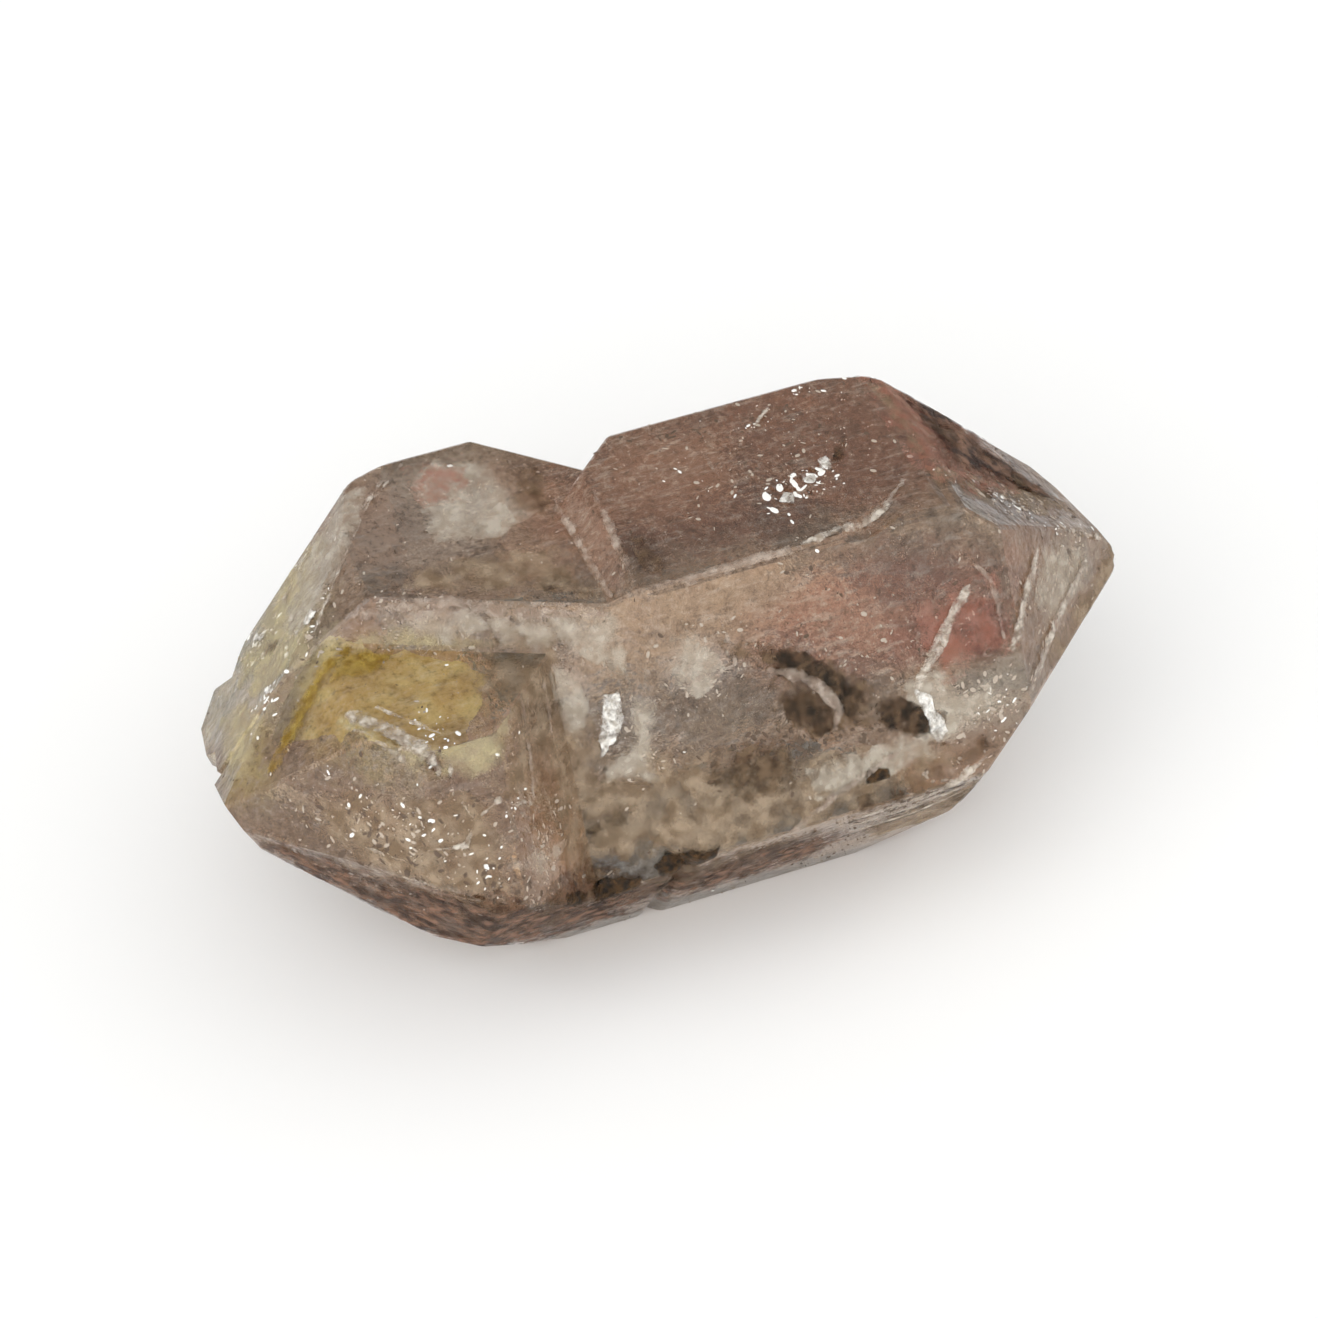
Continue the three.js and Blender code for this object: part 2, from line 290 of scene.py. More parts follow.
# Darker, brown haze, and painted shade: over the dark wedges, in the smudge by them, at the seam between the two
# crystals and beside it.
UMBER_AND_PAINTED_SHADE = {
    "olive": (FRONT, [(-0.9, 9.2), (1.9, 8.9), (2.1, 7.0), (0.1, 7.1), (-1.2, 7.8)]),
    "smudge": (FRONT, [(0.0, 12.0), (1.9, 11.6), (1.5, 10.6), (0.4, 11.0)]),
    "wedges": (FRONT, [(0.9, 11.7), (2.7, 11.4), (4.9, 9.8), (5.0, 8.2), (3.1, 8.0), (1.4, 9.0),
                       (1.3, 10.5)]),
    "right_end": (ABOVE, [(8.9, 2.2), (10.6, 0.9), (13.5, -0.9), (13.3, -1.9), (11.6, -1.5), (9.8, -0.6)]),
    "top_left": (ABOVE, [(-3.5, 3.9), (-2.4, 3.5), (-2.4, 1.6), (-4.0, 0.8), (-4.2, 2.1)]),
    "band": (ABOVE, [(-4.6, -1.2), (-3.0, -1.4), (-2.8, -3.0), (-4.4, -2.2)]),
    "seam": (ABOVE, [(-1.5, -1.0), (-0.6, -1.6), (-0.5, -3.5), (-1.6, -3.4)]),
    "bottom": (FRONT, [(-9.6, 7.6), (-7.7, 7.0), (-3.4, 5.3), (-0.2, 5.8), (3.4, 5.2), (1.4, 3.4),
                       (-0.8, 2.3), (-5.6, 2.3), (-10.9, 5.6)]),
    "purple": (FRONT, [(4.6, 8.9), (5.7, 9.1), (6.7, 8.4), (7.4, 8.2), (6.8, 7.5), (4.9, 7.9)]),
    "low_end": (FRONT, [(3.4, 6.6), (6.4, 6.9), (8.6, 7.6), (8.8, 6.8), (6.0, 5.7), (3.4, 5.6)]),
    "back": (BACK, [(-1.6, 9.4), (1.8, 8.4), (1.4, 5.2), (-1.8, 5.8)]),
    "back_low": (BACK, [(-7.6, 5.4), (-4.6, 4.8), (-3.4, 3.0), (-7.2, 3.2)]),
    "right_low": (FRONT, [(7.2, 4.6), (9.8, 5.8), (11.4, 5.2), (9.2, 3.0), (7.0, 2.6)]),
    "end": (RIGHT, [(0.6, 7.4), (3.4, 6.8), (2.8, 4.6), (0.8, 5.0)]),
    "left_face": (ABOVE, [(-12.6, 2.5), (-11.7, 2.1), (-11.8, 1.1), (-12.5, 1.3)]),
}
# A reddish tinge.
ROSY = {
    "left_top": (ABOVE, [(-6.9, 5.0), (-4.4, 4.9), (-4.5, 2.6), (-6.7, 2.7)]),
    "right": (FRONT, [(6.4, 11.8), (9.9, 11.8), (10.1, 9.2), (6.8, 8.6)]),
    "right_end": (ABOVE, [(7.9, 4.4), (7.9, -2.4), (9.6, -3.6), (12.8, -1.4), (12.2, 1.6), (10.4, 4.0)]),
}
# Iron stain, the pale yellow of it and then the rusty edges.
PALE_STAIN = {
    "right": (FRONT, [(-10.6, 11.9), (-8.7, 12.4), (-6.9, 12.0), (-5.7, 12.0), (-7.2, 10.4), (-8.4, 10.2),
                      (-9.6, 10.6)]),
    "crack": (ABOVE, [(-11.5, -3.3), (-10.4, -5.2), (-9.2, -6.1)], 0.9),
    "left_strip": (ABOVE, [(-13.2, 3.0), (-10.6, 4.3), (-8.6, 4.2), (-10.4, 1.4), (-11.4, -0.8),
                           (-13.4, 0.2)]),
    "tip": (ABOVE, [(-14.1, 1.6), (-13.1, 1.1), (-13.2, -1.2), (-14.2, -2.9), (-14.9, -2.0)]),
}
RUSTY_STAIN = {
    "edge": (ABOVE, [(-13.6, -2.9), (-12.4, -2.0), (-11.7, -1.5), (-10.4, -0.8)], 0.8),
    "corner": (ABOVE, [(-11.6, -1.9), (-10.6, -0.7), (-8.8, -1.4), (-10.0, -2.3)]),
}
# Earth in the growth steps along the lower edge and at the right end; along the lower edge and the back its dark
# brown is also painted shade, where the stone sits on the floor.
EARTH_AND_PAINTED_SHADE = {
    "left": (FRONT, [(-14.8, 8.4), (-12.6, 7.6), (-10.4, 7.6), (-8.4, 7.4), (-6.4, 6.3), (-4.6, 5.2),
                     (-2.2, 4.6), (-2.4, 0.8), (-5, 0.6), (-8, 1.4), (-11, 2.0), (-14.4, 4.4)]),
    "middle": (FRONT, [(-2.4, 4.6), (0.6, 5.2), (3.2, 4.6), (5.4, 3.0), (3.0, 1.2), (-2.2, 1.0)]),
    "right_end": (ABOVE, [(8.9, 3.0), (9.4, 0.4), (9.0, -2.0), (11.6, -1.9), (13.8, -1.6), (12.6, 0.4),
                          (10.6, 2.8)]),
    "back": (BACK, [(-11.4, 4.6), (-5.4, 3.2), (1.4, 3.8), (8.6, 3.4), (9.4, 1.2), (2.6, 0.3),
                    (-6.4, 0.3)]),
    "left_end": (LEFT, [(-5.6, 4.6), (-0.4, 5.2), (4.2, 4.2), (3.6, 1.8), (-3.6, 1.4)]),
}
# A dark flake, and painted shade: the dark wedges, which stand for dark reflections inside the stone, and the shadows
# between the growth steps.
FLAWS_AND_PAINTED_SHADE = {
    # painted shade: dark sheets where the stone shows only dark reflections
    "wedge_upper": (FRONT, [(1.6, 11.4), (2.6, 11.2), (3.9, 10.3), (4.7, 9.3), (4.0, 8.3), (3.4, 9.1),
                            (2.8, 9.9), (1.7, 10.4)]),
    "wedge_lower": (FRONT, [(1.6, 9.8), (2.5, 10.1), (3.4, 9.3), (3.5, 8.5), (2.8, 8.3), (1.9, 8.9)]),
    "wedge_end": (FRONT, [(4.6, 9.2), (5.8, 9.1), (6.9, 8.0), (6.4, 7.4), (5.3, 7.8), (4.6, 8.4)]),
    # painted shadows between the growth steps
    "growth_1": (FRONT, [(2.6, 5.1), (6.0, 5.25), (7.9, 6.1)], 0.44),
    "growth_2": (FRONT, [(3.4, 4.3), (6.2, 4.5), (7.6, 5.4)], 0.44),
    "growth_3": (FRONT, [(3.8, 3.4), (6.2, 3.6), (7.2, 4.5)], 0.44),
    "flake": (ABOVE, [(5.6, -0.7), (6.0, -0.1), (6.8, 0.4), (6.4, -0.7), (5.8, -1.1)]),
}
# Black minerals that have grown on.
MINERALS = {
    "black_spot": (FRONT, [(4.0, 7.3), (5.1, 7.2), (4.9, 6.7), (4.0, 6.7)]),
    "rim_1": (FRONT, [(-5.2, 5.1), (-4.2, 5.2), (-3.2, 5.3), (-3.4, 4.4), (-4.2, 4.1), (-4.9, 4.4)]),
    "rim_2": (FRONT, [(-3.1, 5.6), (-1.9, 6.3), (-0.9, 6.5), (-1.1, 5.9), (-1.9, 5.0), (-2.9, 5.1)]),
    "rim_3": (FRONT, [(-2.7, 4.1), (-1.7, 4.0), (-1.7, 3.3), (-2.6, 3.3)]),
    "rim_4": (FRONT, [(-6.1, 6.0), (-5.5, 5.5), (-5.0, 5.0), (-5.6, 4.5), (-6.1, 5.2)]),
}
# Worn edges and old, milky cracks, then fresh ones. The pale line along the long ridge, in both, is a painted
# highlight.
WORN_LINES_AND_HIGHLIGHTS = {
    # painted highlight along the long ridge
    "ridge": (ABOVE, [(-1.6, -3.85), (0.8, -3.85), (3.4, -3.85)], 0.4),
    "step": (ABOVE, [(-10.0, -0.3), (-7.1, -1.3), (-5.8, -2.1), (-2.8, -3.4)], 0.34),
    "middle": (FRONT, [(-6.2, 11.6), (-6.3, 10.0), (-6.6, 8.4)], 0.26),
    "middle_2": (FRONT, [(-5.2, 11.4), (-5.2, 10.6), (-5.3, 9.5)], 0.22),
    "front": (FRONT, [(-1.6, 10.9), (0.6, 11.1), (0.4, 12.4)], 0.26),
    "front_2": (FRONT, [(8.5, 12.4), (9.3, 11.4), (9.4, 9.7)], 0.3),
    "low_ridge": (FRONT, [(0.8, 5.9), (2.8, 6.7), (5.4, 7.5)], 0.34),
    "top": (ABOVE, [(2.2, 1.3), (2.3, -0.5)], 0.2),
    "back": (BACK, [(-7.4, 10.4), (-4.2, 7.2), (-3.2, 4.4)], 0.36),
    "back_2": (BACK, [(2.0, 11.0), (5.4, 8.0), (9.6, 6.8)], 0.3),
    "end": (RIGHT, [(-6.6, 6.2), (-1.0, 5.2), (4.2, 6.6)], 0.26),
    "end_2": (RIGHT, [(-5.2, 4.6), (0.0, 3.7), (3.4, 4.9)], 0.26),
    "seam_left": (ABOVE, [(-2.6, 1.7), (-2.55, -3.2)], 0.34),
    "seam_right": (ABOVE, [(-1.6, 0.8), (-1.85, -3.4)], 0.34),
    "wedge": (FRONT, [(1.6, 10.7), (2.6, 10.3), (3.2, 9.8), (3.6, 9.1), (3.4, 8.6)], 0.5),
}
CRACKS_AND_HIGHLIGHT = {
    # painted highlight, where the long ridge runs on to the right
    "ridge": (ABOVE, [(7.6, -2.3), (6.6, -3.1), (5.5, -3.55), (3.4, -3.8)], 0.38),
    "front": (FRONT, [(8.5, 11.4), (7.3, 10.2), (6.2, 9.0)], 0.54),
    "end": (FRONT, [(11.4, 10.9), (10.3, 10.2), (9.6, 9.4)], 0.56),
    "end_edge": (FRONT, [(13.6, 8.9), (11.6, 8.6), (9.9, 8.0)], 0.5),
    "tip_1": (FRONT, [(10.2, 12.5), (12.8, 10.5), (14.6, 8.8)], 0.24),
    "tip_2": (FRONT, [(11.8, 11.3), (14.2, 9.3)], 0.2),
    "back": (BACK, [(8.8, 10.4), (7.4, 8.4), (7.8, 6.6)], 0.4),
    "back_2": (BACK, [(-10.6, 6.8), (-8.2, 7.4), (-6.0, 6.4)], 0.3),
    "right_end": (RIGHT, [(-2.6, 7.9), (-1.8, 6.2), (-2.4, 4.6)], 0.3),
    "twin_1": (ABOVE, [(-7.8, 3.8), (-6.4, 5.0)], 0.22),
    "twin_2": (ABOVE, [(-8.3, 3.5), (-7.0, 4.7)], 0.2),
    "top": (ABOVE, [(4.9, 2.3), (3.4, 1.0)], 0.22),
    "stain_1": (ABOVE, [(-11.2, -3.4), (-10.4, -4.6), (-9.4, -6.0)], 0.7),
    "stain_2": (ABOVE, [(-10.4, -3.5), (-9.7, -4.4), (-8.9, -5.4)], 0.3),
    "stain_3": (ABOVE, [(-11.4, -3.8), (-10.9, -4.7), (-10.2, -5.6)], 0.24),
    "left_1": (ABOVE, [(-11.5, 0.4), (-11.1, 3.1), (-9.7, 3.8)], 0.2),
    "left_2": (ABOVE, [(-10.9, -0.6), (-11.1, 0.1), (-9.5, 1.7), (-7.3, 4.6)], 0.2),
    "drip": (FRONT, [(-9.0, 11.0), (-9.1, 10.1)], 0.26),
    "low_line": (FRONT, [(-11.7, 8.3), (-10.9, 8.2), (-10.1, 8.5)], 0.2),
    "loop": (FRONT, [(-8.9, 9.9), (-8.6, 9.3), (-9.0, 8.7), (-9.9, 8.8)], 0.22),
    "loop_2": (FRONT, [(-8.4, 9.4), (-7.7, 9.7), (-6.6, 8.8)], 0.26),
    "growth_1": (FRONT, [(3.0, 5.6), (5.8, 5.7), (8.1, 6.6)], 0.44),
    "growth_2": (FRONT, [(3.6, 4.7), (6.1, 4.9), (7.8, 5.8)], 0.44),
    "growth_3": (FRONT, [(4.2, 3.85), (6.3, 4.05), (7.5, 5.0)], 0.44),
}
# Painted glints: bright patches that stand for light caught by little fracture faces.
PAINTED_GLINTS = {
    "panel": (FRONT, [(-3.5, 10.5), (-2.75, 10.6), (-3.0, 9.3), (-4.0, 8.2), (-3.75, 9.4)]),
    "end": (FRONT, [(5.8, 9.3), (6.7, 8.9), (7.1, 7.6), (6.5, 7.1), (6.2, 8.3)]),
    "top_1": (ABOVE, [(3.4, -1.9), (4.0, -2.2), (4.3, -1.6), (3.8, -1.3)]),
    "top_2": (ABOVE, [(3.7, -1.1), (4.3, -1.2), (4.2, -0.8)]),
    "top_3": (ABOVE, [(4.5, -1.5), (5.1, -1.5), (5.2, -1.0), (4.7, -0.9)]),
    "top_4": (ABOVE, [(5.3, -1.1), (5.9, -1.0), (5.8, -0.4), (5.3, -0.4)]),
    "left_1": (ABOVE, [(-9.9, 4.2), (-9.6, 4.2), (-9.8, 3.4), (-10.1, 3.3)]),
    "left_2": (ABOVE, [(-11.4, 0.9), (-10.8, 1.1), (-10.7, 0.7), (-11.2, 0.4)]),
    "left_3": (ABOVE, [(-12.4, 3.0), (-12.0, 3.2), (-11.9, 2.4), (-12.3, 2.3)]),
    "left_4": (ABOVE, [(-13.0, 0.2), (-12.7, 0.2), (-12.6, -0.5), (-12.9, -0.4)]),
    "tip": (ABOVE, [(11.0, -2.9), (11.5, -2.9), (11.6, -2.5), (11.1, -2.5)]),
}

# The films lie this far off the faces, a layer for each kind and within it a little for each mark.
FIRST_LAYER = 0.01
LAYER = 0.008
MARK_LAYER = 0.0004
FILM_THICK = 0.004

# The films, from the lowest to the topmost: their marks, their two colours, and the width over which their
# edges fade. Solid is how much of the light they stop at most. Gaps is how patchy they are, up to 1, and
# size how wide the patches are.
FILMS = {
    "taupe_haze": {"marks": TAUPE, "colours": ((0.24, 0.165, 0.1), (0.42, 0.32, 0.22)), "fade": 1.0,
                   "solid": 0.6, "gaps": 0.6, "size": 0.9},
    "pale_stain": {"marks": PALE_STAIN, "colours": ((0.62, 0.54, 0.32), (0.5, 0.42, 0.27)), "fade": 0.8,
                   "solid": 0.45, "gaps": 0.4, "size": 0.8},
    "milky_haze": {"marks": MILKY, "colours": ((0.66, 0.6, 0.5), (0.5, 0.43, 0.34)), "fade": 0.6,
                   "solid": 0.42, "gaps": 0.6, "size": 0.7},
    "rosy_haze": {"marks": ROSY, "colours": ((0.4, 0.15, 0.1), (0.48, 0.24, 0.18)), "fade": 1.3,
                  "solid": 0.34, "gaps": 0.7, "size": 0.8},
    "rusty_stain": {"marks": RUSTY_STAIN, "colours": ((0.26, 0.15, 0.015), (0.46, 0.32, 0.07)), "fade": 0.35,
                    "solid": 0.6, "gaps": 0.5, "size": 0.6},
    "umber_haze_and_painted_shade": {"marks": UMBER_AND_PAINTED_SHADE, "colours": ((0.07, 0.04, 0.02), (0.2, 0.13, 0.075)), "fade": 0.9,
                   "solid": 0.6, "gaps": 0.8, "size": 0.7},
    "earthy_rims_and_painted_shade": {"marks": EARTH_AND_PAINTED_SHADE, "colours": ((0.035, 0.014, 0.006), (0.24, 0.13, 0.08)), "fade": 1.5,
                    "solid": 0.88, "gaps": 0.8, "size": 0.8},
    "dark_flaws_and_painted_shade": {"marks": FLAWS_AND_PAINTED_SHADE, "colours": ((0.015, 0.009, 0.004), (0.1, 0.06, 0.032)), "fade": 0.55,
                   "solid": 0.94, "gaps": 0.45, "size": 0.6},
    "black_minerals": {"marks": MINERALS, "colours": ((0.01, 0.006, 0.003), (0.08, 0.04, 0.012)), "fade": 0.2,
                       "solid": 0.95, "gaps": 0.4, "size": 0.3},
    "worn_edges_and_painted_highlights": {"marks": WORN_LINES_AND_HIGHLIGHTS, "colours": ((0.56, 0.47, 0.39), (0.36, 0.27, 0.21)), "fade": 0.2,
                   "solid": 0.5, "gaps": 0.6, "size": 0.5},
    "fresh_cracks_and_painted_highlight": {"marks": CRACKS_AND_HIGHLIGHT, "colours": ((0.72, 0.66, 0.57), (0.4, 0.33, 0.26)), "fade": 0.22,
                     "solid": 0.66, "gaps": 0.7, "size": 0.4},
    "painted_glint_patches": {"marks": PAINTED_GLINTS, "colours": ((0.9, 0.88, 0.83), (0.5, 0.46, 0.4)), "fade": 0.18,
                      "solid": 0.88, "gaps": 0.75, "size": 0.4},
}

# The rusty film inside: its outline from above, how deep it lies, how far that wanders, and its colours,
# from the palest to the darkest, which is along its straight left edge, where the film is thickest.
STAIN = [(-10.4, -0.4), (-9.6, -0.9), (-7.6, -2.1), (-6.7, -3.2), (-7.2, -4.6), (-8.4, -5.9), (-9.2, -5.9),
         (-10.4, -5.4), (-11.6, -3.9), (-12.6, -3.0), (-13.6, -2.2), (-12.7, -0.9), (-11.4, -0.1)]
STAIN_DEPTH = 0.1
STAIN_RELIEF = 0.04
STAIN_THICK = 0.02
STAIN_COLOURS = ((0.95, 0.86, 0.5), (0.72, 0.5, 0.1), (0.24, 0.12, 0.01))
STAIN_EDGE = (-0.77, 0.64, 0)

# Flecks in the skin, in clusters. Each cluster: side, middle, radii, turned (degrees), how many, and
# half the length of its longest.
# The first kind are painted glints: white flecks that stand for sparkles of light off little breaks.
PAINTED_GLINT_FLECKS = [
    (ABOVE, (4.6, -1.3), (1.5, 0.8), 20, 60, 0.24),
    (ABOVE, (4.0, 1.7), (0.7, 0.5), 0, 8, 0.14),
    (ABOVE, (6.3, 2.7), (1.2, 0.4), 0, 14, 0.12),
    (ABOVE, (1.3, 0.6), (0.8, 0.8), 0, 8, 0.12),
    (ABOVE, (10.6, -2.5), (1.7, 0.6), -15, 34, 0.14),
    (ABOVE, (13.4, -2.8), (1.2, 0.4), 25, 18, 0.12),
    (ABOVE, (-10.1, 3.7), (0.7, 0.9), 0, 30, 0.2),
    (ABOVE, (-11.1, 0.8), (0.8, 0.8), 0, 30, 0.2),
    (ABOVE, (-12.2, 2.5), (0.8, 0.8), 0, 36, 0.22),
    (ABOVE, (-12.9, -0.1), (0.6, 0.8), 0, 22, 0.16),
    (ABOVE, (-9.4, -4.9), (1.3, 0.7), -50, 24, 0.14),
    (FRONT, (-10.6, 9.4), (1.9, 1.1), 0, 46, 0.14),
    (FRONT, (-7.2, 9.2), (0.6, 0.4), 0, 12, 0.12),
    (FRONT, (-8.6, 7.6), (0.9, 0.7), 0, 22, 0.14),
    (FRONT, (-10.0, 5.8), (2.6, 0.8), 0, 46, 0.14),
    (FRONT, (8.6, 8.0), (1.2, 0.8), 0, 22, 0.14),
]
PALE_FLECKS = [
    (FRONT, (-2.4, 9.6), (0.9, 1.6), 0, 60, 0.14),
    (FRONT, (-0.4, 11.4), (1.8, 1.3), 30, 90, 0.14),
    (FRONT, (-6.6, 7.3), (1.4, 0.8), 40, 120, 0.16),
    (FRONT, (8.4, 8.0), (1.8, 1.0), -10, 120, 0.18),
    (FRONT, (6.4, 5.8), (2.6, 1.0), 12, 110, 0.2),
    (FRONT, (-10.8, 8.9), (2.2, 1.4), 0, 150, 0.16),
    (FRONT, (-9.5, 5.8), (3.2, 0.9), 0, 120, 0.16),
    (ABOVE, (-5.4, 2.6), (1.8, 1.5), 0, 70, 0.14),
    (ABOVE, (-8.2, -1.3), (2.2, 0.6), -24, 70, 0.14),
    (ABOVE, (-11.6, 1.6), (1.0, 2.6), 20, 160, 0.18),
    (ABOVE, (11.2, -2.2), (2.2, 1.4), -15, 130, 0.18),
    (FRONT, (12.2, 9.4), (2.0, 1.0), -20, 120, 0.16),
    (ABOVE, (4.5, 0), (4.0, 2.4), 0, 120, 0.14),
    (FRONT, (5.5, 10.4), (3.4, 1.6), -10, 110, 0.14),
]
DARK_FLECKS = [
    (FRONT, (-10.8, 9.0), (2.0, 1.3), 0, 170, 0.2),
    (FRONT, (-8.4, 7.0), (1.2, 0.8), 0, 60, 0.2),
    (FRONT, (-9.6, 5.9), (2.8, 0.7), 0, 110, 0.22),
    (FRONT, (-5.6, 5.3), (1.2, 0.4), 0, 30, 0.22),
    (FRONT, (1.4, 8.5), (1.9, 1.0), 0, 150, 0.18),
    (FRONT, (4.4, 8.4), (1.6, 0.7), 0, 60, 0.18),
    (ABOVE, (11.2, -1.4), (2.4, 1.6), -15, 240, 0.24),
    (ABOVE, (-12.3, 2.2), (0.7, 0.7), 0, 40, 0.2),
    (ABOVE, (2.2, 2.4), (2.4, 0.8), 0, 30, 0.18),
    (ABOVE, (4.5, 0.5), (4.0, 2.0), 0, 90, 0.14),
    (FRONT, (13.2, 9.4), (0.3, 0.3), 0, 6, 0.22),
    (FRONT, (5.6, 5.4), (2.4, 0.7), 12, 70, 0.2),
]

# Each kind of fleck: its clusters, how many more lie all round, half the length of the longest of those, its
# colour and its roughness.
FLECKS = {
    "painted_glint_flecks": (PAINTED_GLINT_FLECKS, 60, 0.14, (0.9, 0.89, 0.85), 0.2),
    "pale_flecks": (PALE_FLECKS, 900, 0.12, (0.42, 0.35, 0.28), 0.5),
    "dark_flecks": (DARK_FLECKS, 900, 0.12, (0.09, 0.055, 0.032), 0.5),
}
# Half a fleck's thickness, and the turns that they lie near.
FLECK_THICK = 0.02
FLECK_TURNS = (0.3, 1.35, 2.4)

# Sheets of tiny bubbles across the inside, as ellipses: middle, radii, turned (degrees), how many.
VEILS = {
    "veil_across": ((1.5, -1, 7.5), (6.5, 3.6), (62, 12, 20), 1500),
    "veil_left": ((-6, -1, 8.2), (5.0, 3.4), (38, -18, -10), 1300),
    "veil_seam": ((-2.0, -2.2, 9.6), (2.6, 3.6), (10, 78, 0), 900),
    "veil_right": ((8.5, -1.4, 8.4), (3.2, 3.8), (-24, 60, 30), 900),
}
# A veil's gaps are this wide and its waves this long and high. Its bubbles lie this far off it, and keep
# this far from the faces.
VEIL_GAP = 0.8
VEIL_WAVE = 2.2
VEIL_HEIGHT = 0.8
VEIL_SCATTER = 0.05
VEIL_CLEAR = 0.2
VEIL_COLOUR = (0.88, 0.86, 0.83)

# What the camera looks at, in millimetres, and the way to the window.
STONE_MIDDLE = (0.42, 0.37, 6.0)
WINDOW_WAY = (-0.6, -0.48, 0.64)
FLOOR_REACH = 1000
FLOOR_COLOUR = (0.92, 0.92, 0.91)
WHITE = (1, 1, 1, 1)


class CrystalSettings(bpy.types.PropertyGroup):
    clearness: FloatProperty(name="Clearness", description="Share of the light that passes the surface",
                             default=0.82, min=0, max=1, subtype="FACTOR")
    polish: FloatProperty(name="Roughness", description="Roughness of the cleanest faces", default=0.035,
                          min=0, max=1, subtype="FACTOR")
    density: FloatProperty(name="Absorption", description="Absorption density, per metre", default=60,
                           subtype="UNSIGNED")
    smoke: FloatVectorProperty(name="Smoke", description="Colour that long ways through the stone take on",
                               default=(0.9, 0.6, 0.34), subtype="COLOR", size=3)


class InclusionSettings(bpy.types.PropertyGroup):
    seed: IntProperty(name="Seed", description="Start of the random numbers", default=7, subtype="UNSIGNED")
    bubble_mm: FloatProperty(name="Bubble", description="Radius of a veil's bubbles, mm", default=0.035,
                             subtype="UNSIGNED")


class StageSettings(bpy.types.PropertyGroup):
    distance_mm: FloatProperty(name="Distance", description="Camera to the stone's middle, mm", default=160,
                               subtype="UNSIGNED")
    lens: FloatProperty(name="Lens", description="Focal length, mm", default=135.5, unit="CAMERA")
    azimuth: FloatProperty(name="Azimuth", description="Round the stone from the front",
                           default=math.radians(-22), subtype="ANGLE")
    elevation: FloatProperty(name="Elevation", description="Above the horizon", default=math.radians(45),
                             subtype="ANGLE")
    sky: FloatProperty(name="Sky", description="Strength of the light all round", default=1.04,
                       subtype="UNSIGNED")
    back: FloatProperty(name="Back", description="Strength of the light from the back", default=0.5,
                        subtype="UNSIGNED")
    window: FloatProperty(name="Window", description="Strength of the window's light", default=1.4,
                          subtype="UNSIGNED")


# ---------------------------------------------------------------- building

# A film is built on a grid that reaches this far past its outline. An edge this many steps long has jumped
# from one face to another, and goes. The rim is smoothed this many times.
MARGIN = 0.5
STEEPEST = 6
RIM_ROUNDS = 3
# The balls in one bmesh at a time, because it slows down with many of them.
BATCH = 80


def crystal_solid():
    """The CAD solid of the crystal, which all the pieces need."""
    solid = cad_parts.get(CRYSTAL)
    if solid is None:
        raise RuntimeError(f"the packed model has no node named {CRYSTAL}")
    return solid


def new_object(name, bm, material):
    """An object from a finished bmesh in millimetres, sitting at the origin."""
    bmesh.ops.scale(bm, vec=(MM, MM, MM), verts=bm.verts)
    mesh = bpy.data.meshes.new(name)
    bm.to_mesh(mesh)
    bm.free()
    mesh.materials.append(material)
    made = bpy.data.objects.new(name, mesh)
    bpy.context.scene.collection.objects.link(made)
    return made


def inclusion(name, bm, material):
    """A piece that rides the stone and belongs to its material slot."""
    made = new_object(name, bm, material)
    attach(made, "root")
    return made


def plain(name, **values):
    """A material of plain numbers alone."""
    material = bpy.data.materials.new(name)
    Graph(material).set(**values)
    return material


class Skin:
    """The crystal's surface, in millimetres, to set things on it and under it."""

    FAR = 60  # well outside the crystal

    def __init__(self):
        solid = crystal_solid()
        corners = [v.co / MM for v in solid.data.vertices]
        self.tree = BVHTree.FromPolygons(corners, [list(p.vertices) for p in solid.data.polygons])
        self.faces = [[corners[i] for i in p.vertices] for p in solid.data.polygons]
        self.areas = [(b - a).cross(c - a).length for a, b, c in self.faces]

    def seat(self, side, u, v, depth):
        """The place at that depth below the face seen from that side, and the face's normal."""
        across, up, out = (Vector(way) for way in side)
        place, normal, _, _ = self.tree.ray_cast(across * u + up * v + out * self.FAR, -out)
        if place is None:
            return None, None
        return place - normal * depth, normal

    def anywhere(self, rng):
        """A random place on the surface, and the face's normal."""
        a, b, c = rng.choices(self.faces, self.areas)[0]
        s, t = rng.random(), rng.random()
        if s + t > 1:
            s, t = 1 - s, 1 - t
        return a + (b - a) * s + (c - a) * t, (b - a).cross(c - a).normalized()

    def holds(self, place, margin):
        """Whether a place is inside the crystal, by more than the margin."""
        near, normal, _, _ = self.tree.find_nearest(place)
        return (near - place).dot(normal) > margin


def along(point, a, b):
    """A point's distance from the line between a and b, and how far along it the nearest place is."""
    line = b - a
    t = max(0.0, min(1.0, (point - a).dot(line) / line.length_squared))
    return (point - a - line * t).length, t


def inside_outline(point, corners):
    """How far a point lies inside a closed outline; less than 0 outside it."""
    nearest, crossings = math.inf, 0
    for i, a in enumerate(corners):
        b = corners[i - 1]
        nearest = min(nearest, along(point, a, b)[0])
        if (a.y > point.y) != (b.y > point.y):
            crossings += point.x < a.x + (b.x - a.x) * (point.y - a.y) / (b.y - a.y)
    return nearest if crossings % 2 else -nearest


def inside_path(point, corners, width):
    """How far a point lies inside a path that narrows to both its ends."""
    best = -math.inf
    steps = len(corners) - 1
    for i in range(steps):
        away, t = along(point, corners[i], corners[i + 1])
        taper = math.sin(math.pi * (0.08 + 0.84 * (i + t) / steps)) ** 0.35
        best = max(best, width / 2 * taper - away)
    return best


